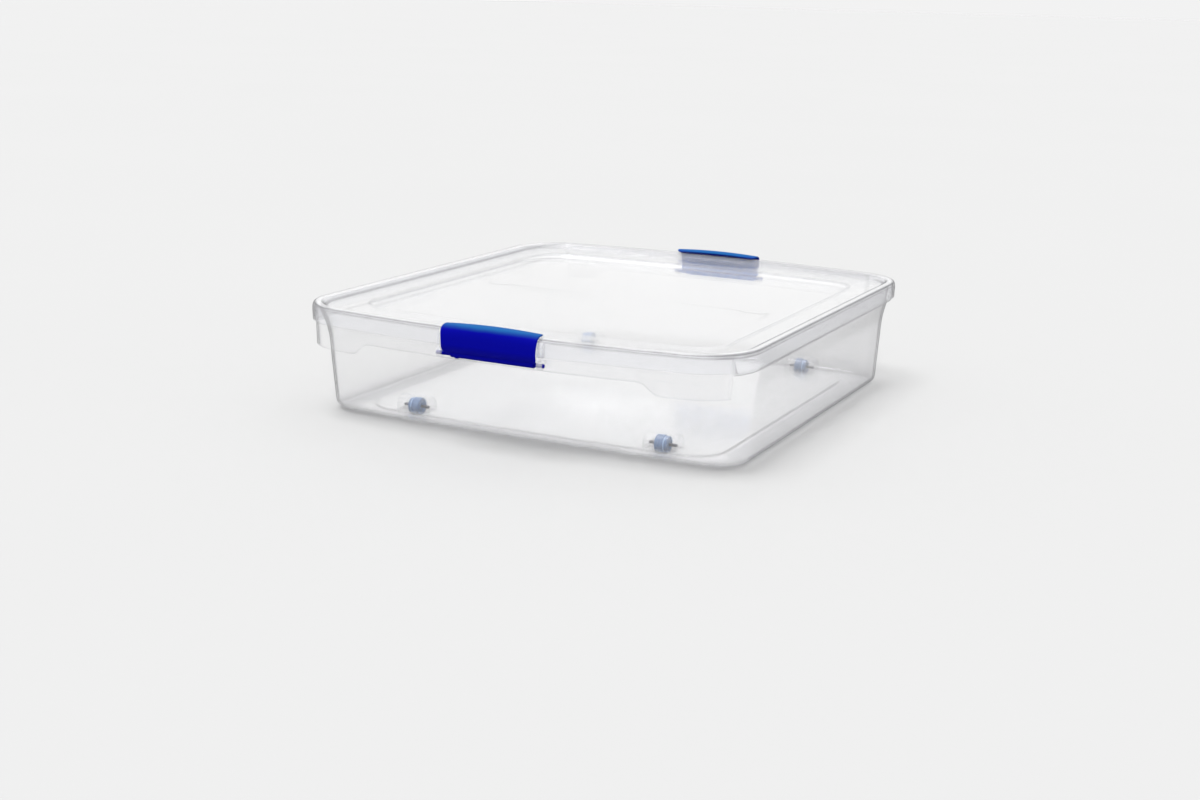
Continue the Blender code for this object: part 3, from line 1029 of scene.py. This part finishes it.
def clear_plastic(name, milk, floor_milk, level, upright, bend_shade_colour, edge, shine):
    """Thin clear polypropylene: mostly see-through, a little milky, glossier edge-on.

    milk is how solid a face is, and floor_milk the same for the flat floor of the tub. The next four
    tint what shows through: level and upright faces, tight bends, and faces seen along their surface.
    The darker tint of upright faces and of tight bends is painted shade.
    shine is how mirror-like a face gets at a slant.
    """
    n = Nodes(name)
    skin = n.noise(900.0, detail=2.0)
    flow = n.noise(7.0, detail=2.0)
    height = n.math("ADD", n.math("MULTIPLY", skin, 0.10), flow)
    normal = n.bump(height, 0.2, 0.0005)
    facing = n.add("LayerWeight", Blend=0.5, Normal=normal).outputs["Facing"]
    bend = n.add("Attribute", attribute_name="bend").outputs["Fac"]
    frost_and_highlight = n.add("Attribute", attribute_name="frost_and_highlight").outputs["Fac"]
    lie = n.add("SeparateXYZ", Vector=n.add("NewGeometry").outputs["Normal"]).outputs["Z"]
    steep = n.math("SUBTRACT", 1.0, n.math("ABSOLUTE", lie))
    place_z = n.add("SeparateXYZ", Vector=n.add("TexCoord").outputs["Object"]).outputs["Z"]
    gain = n.add("MapRange", Value=place_z, From_Min=CROWN_Z - 0.0024, From_Max=CROWN_Z - 0.0014, To_Min=2.0,
                 To_Max=24.0)
    standing = n.math("MINIMUM", 1.0, n.math("MULTIPLY", steep, gain.outputs[0]))
    along = n.math("MULTIPLY", n.math("POWER", facing, 3.0), standing)
    # Upright faces are tinted darker than level ones: a painted shade.
    painted_slope_shade = n.ramp(steep, (0.0, level), (1.0, upright))
    # Tight bends are tinted darker from the bend attribute: a painted shade.
    painted_bend_shade = n.ramp(bend, (0.15, (1, 1, 1)), (1.0, bend_shade_colour))
    clear = n.math("SUBTRACT", 1.0, n.math("MINIMUM", 1.0, n.math("MULTIPLY", frost_and_highlight, 1.4)))
    on_crown = n.add("MapRange", Value=place_z, From_Min=CROWN_Z - 0.0030, From_Max=CROWN_Z - 0.0020)
    grazing = n.math("MULTIPLY", along, n.math("MAXIMUM", clear, on_crown.outputs[0]))
    edge_tint = n.ramp(grazing, (0.02, (1, 1, 1)), (0.22, (0.988, 0.988, 0.989)), (0.40, (0.88, 0.88, 0.885)),
                       (0.58, (0.50, 0.50, 0.505)), (0.80, edge))
    tint = painted_slope_shade
    for other in (painted_bend_shade, edge_tint):
        both = n.add("Mix", data_type="RGBA", blend_type="MULTIPLY")
        both.inputs["Factor"].default_value = 1.0
        n.set(both.inputs["A"], tint)
        n.set(both.inputs["B"], other)
        tint = both.outputs["Result"]
    through = n.add("BsdfTransparent", Color=tint)
    low = n.add("MapRange", Value=place_z, From_Min=0.0080, From_Max=0.0100, To_Min=1.0, To_Max=0.0)
    flat = n.add("MapRange", Value=steep, From_Min=0.02, From_Max=0.10, To_Min=1.0, To_Max=0.0)
    on_floor = n.math("MULTIPLY", low.outputs[0], flat.outputs[0])
    base = n.add("MapRange", Value=on_floor, To_Min=milk, To_Max=floor_milk).outputs[0]
    cloud = n.math("MULTIPLY", n.math("ADD", 0.75, n.math("MULTIPLY", flow, 0.5)), base)
    milky = n.math("ADD", cloud, n.math("MULTIPLY", frost_and_highlight, 0.16))
    # Light is trapped in plastic seen edge-on, so its outline is neither milky nor bright.
    open_face = n.add("MapRange", Value=along, From_Min=0.40, From_Max=0.70, To_Min=1.0, To_Max=0.10)
    solid = n.math("MULTIPLY", milky, open_face.outputs[0])
    lit = n.add("BsdfDiffuse", Color=(0.96, 0.962, 0.968, 1.0), Normal=normal)
    glow = n.add("BsdfTranslucent", Color=(0.96, 0.962, 0.968, 1.0), Normal=normal)
    body = n.mix(0.30, lit.outputs[0], glow.outputs[0])
    sheet = n.mix(solid, through.outputs[0], body)
    gloss = n.add("BsdfAnisotropic", Color=(1, 1, 1, 1), Roughness=0.12, Normal=normal)
    slant = n.math("MINIMUM", n.math("MULTIPLY", n.math("POWER", facing, 5.0), shine), MOST_SHINE)
    mirror = n.math("ADD", slant, 0.03)
    return n.finish(n.mix(mirror, sheet, gloss.outputs[0]))


def blue_latch_plastic():
    """Deep blue moulded plastic, lighter on the face towards the box and on its thin lip, a painted glow."""
    n = Nodes("latch_blue_plastic")
    up = n.add("SeparateXYZ", Vector=n.add("TexCoord").outputs["Object"]).outputs["Z"]
    rise = n.math("DIVIDE", up, LATCH_HEIGHT)
    grain = n.noise(1400.0, detail=3.0)
    patch = n.noise(45.0, detail=2.0)
    shade = n.math("ADD", rise, n.math("MULTIPLY", n.math("SUBTRACT", patch, 0.5), 0.05))
    # A little darker towards the bottom, a painted shade; lighter and greener on the lip, a painted glow
    colour = n.ramp(shade, (0.0, (0.0002, 0.0003, 0.21)), (0.30, (0.0002, 0.0004, 0.24)),
                    (0.86, (0.0003, 0.0008, 0.24)), (0.93, (0.003, 0.028, 0.21)), (1.0, (0.006, 0.075, 0.24)))
    inner = n.add("Mix", data_type="RGBA")
    n.set(inner.inputs["Factor"], n.add("Attribute", attribute_name="inside").outputs["Fac"])
    n.set(inner.inputs["A"], colour)
    inner.inputs["B"].default_value = (0.004, 0.130, 0.50, 1.0)
    roughness = n.math("ADD", 0.42, n.math("MULTIPLY", grain, 0.16))
    shader = n.add("BsdfPrincipled", Base_Color=inner.outputs["Result"], Roughness=roughness,
                   Normal=n.bump(grain, 0.12, 0.0002))
    shader.inputs["Specular IOR Level"].default_value = 0.03
    return n.finish(shader.outputs[0])


def blue_wheel_plastic():
    n = Nodes("wheel_blue_plastic")
    grain = n.noise(1600.0, detail=3.0)
    patch = n.noise(140.0, detail=3.0)
    colour = n.ramp(patch, (0.30, (0.012, 0.075, 0.21)), (0.70, (0.022, 0.105, 0.27)))
    # The groove is painted lighter: a painted glow for the light that the plastic lets through.
    painted_groove_glow = n.add("Mix", data_type="RGBA")
    n.set(painted_groove_glow.inputs["Factor"], n.add("Attribute", attribute_name="thin").outputs["Fac"])
    n.set(painted_groove_glow.inputs["A"], colour)
    painted_groove_glow.inputs["B"].default_value = (0.30, 0.44, 0.66, 1.0)
    roughness = n.math("ADD", 0.34, n.math("MULTIPLY", grain, 0.22))
    shader = n.add("BsdfPrincipled", Base_Color=painted_groove_glow.outputs["Result"], Roughness=roughness,
                   Normal=n.bump(grain, 0.18, 0.0002))
    return n.finish(shader.outputs[0])


def pin_steel():
    """Drawn steel: fine scratches along the pin."""
    n = Nodes("drawn_steel")
    where = n.add("TexCoord").outputs["Object"]
    stretched = n.add("Mapping", Vector=where)
    stretched.inputs["Scale"].default_value = (60.0, 3000.0, 3000.0)
    lines = n.add("TexNoise", Vector=stretched.outputs[0], Scale=1.0, Detail=3.0).outputs["Fac"]
    colour = n.ramp(lines, (0.30, (0.018, 0.017, 0.026)), (0.75, (0.045, 0.043, 0.060)))
    roughness = n.math("ADD", 0.22, n.math("MULTIPLY", lines, 0.25))
    shader = n.add("BsdfPrincipled", Base_Color=colour, Roughness=roughness, Metallic=1.0,
                   Normal=n.bump(lines, 0.2, 0.0001))
    return n.finish(shader.outputs[0])


def floor_paint():
    n = Nodes("studio_floor")
    patch = n.noise(0.8, detail=2.0)
    colour = n.ramp(patch, (0.0, (0.405, 0.405, 0.405)), (1.0, (0.413, 0.413, 0.413)))
    shader = n.add("BsdfPrincipled", Base_Color=colour, Roughness=0.85)
    shader.inputs["Specular IOR Level"].default_value = 0.1
    return n.finish(shader.outputs[0])


# ---------------------------------------------------------------- the object


def place(obj, body, slot, *nodes):
    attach(obj, body)
    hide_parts(*nodes)


def build_object():
    tub_plastic = clear_plastic(
        "clear_tub_plastic", milk=0.035, floor_milk=0.21, level=(0.989, 0.989, 0.990),
        upright=(0.980, 0.980, 0.981), bend_shade_colour=(0.74, 0.74, 0.75), edge=(0.18, 0.18, 0.19), shine=0.60)
    lid_plastic = clear_plastic(
        "clear_lid_plastic", milk=0.050, floor_milk=0.050, level=(0.995, 0.995, 0.996),
        upright=(0.984, 0.986, 0.993), bend_shade_colour=(0.56, 0.56, 0.57), edge=(0.16, 0.16, 0.17), shine=0.66)
    place(make_tub(tub_plastic), "tub_body", "clear_tub", "tub")
    place(make_lid(lid_plastic), "lid_body", "clear_lid", "lid")
    latch_blue = blue_latch_plastic()
    for end_name in ENDS:
        place(make_latch(end_name, latch_blue), f"{end_name}_latch_body", "latch_blue", f"{end_name}_latch")
    wheel_blue = blue_wheel_plastic()
    steel = pin_steel()
    for where in WHEELS:
        place(make_wheel(where, wheel_blue), f"wheel_{where}_body", "wheel_blue", f"wheel_{where}")
        place(make_pin(where, steel), "tub_body", "axle_steel", f"axle_{where}")


# ---------------------------------------------------------------- studio


def make_floor():
    bm = bmesh.new()
    bmesh.ops.create_grid(bm, x_segments=1, y_segments=1, size=60.0)
    floor = object_of("studio_floor", bm, floor_paint())


def make_light():
    """A white room that is brighter overhead, and a very soft key light from above."""
    world = bpy.data.worlds.new("studio")
    bpy.context.scene.world = world
    world.use_nodes = True
    tree = world.node_tree
    tree.nodes.clear()
    direction = tree.nodes.new("ShaderNodeTexCoord")
    split = tree.nodes.new("ShaderNodeSeparateXYZ")
    strength = tree.nodes.new("ShaderNodeMapRange")
    strength.inputs["From Min"].default_value = 0.3
    strength.inputs["From Max"].default_value = 0.9
    strength.inputs["To Min"].default_value = 0.89
    strength.inputs["To Max"].default_value = 1.85
    background = tree.nodes.new("ShaderNodeBackground")
    background.inputs["Color"].default_value = (1.0, 1.0, 1.0, 1.0)
    output = tree.nodes.new("ShaderNodeOutputWorld")
    tree.links.new(direction.outputs["Generated"], split.inputs[0])
    tree.links.new(split.outputs["Z"], strength.inputs["Value"])
    tree.links.new(strength.outputs[0], background.inputs["Strength"])
    tree.links.new(background.outputs[0], output.inputs["Surface"])
    sun = bpy.data.lights.new("soft_key", "SUN")
    sun.energy = 2.1
    sun.angle = math.radians(26)
    key = bpy.data.objects.new("soft_key", sun)
    key.rotation_euler = (math.radians(14), math.radians(-10), 0)
    bpy.context.scene.collection.objects.link(key)


def make_camera():
    """Just right of the front and a little above, rolled about a degree."""
    azimuth, elevation, roll = math.radians(26.16), math.radians(14.11), math.radians(1.42)
    back = Vector((math.sin(azimuth) * math.cos(elevation),
                   -math.cos(azimuth) * math.cos(elevation), math.sin(elevation)))
    right = Vector((math.cos(azimuth), math.sin(azimuth), 0))
    up = back.cross(right)
    across = math.cos(roll) * right + math.sin(roll) * up
    above = math.cos(roll) * up - math.sin(roll) * right
    data = bpy.data.cameras.new("camera")
    data.sensor_width = 36.0
    data.lens = 49.03
    data.clip_start = 0.05
    data.clip_end = 200.0
    camera = bpy.data.objects.new("camera", data)
    turned = Matrix((across, above, back)).transposed().to_4x4()
    camera.matrix_world = Matrix.Translation(Vector((-0.0277, 0.0, -0.0127)) + back * 2.378) @ turned
    bpy.context.scene.collection.objects.link(camera)
    bpy.context.scene.camera = camera


def main():
    build_object()
    make_floor()
    make_light()
    make_camera()
    bpy.context.scene.view_settings.view_transform = "Standard"
    bpy.context.scene.cycles.transparent_max_bounces = 40


main()
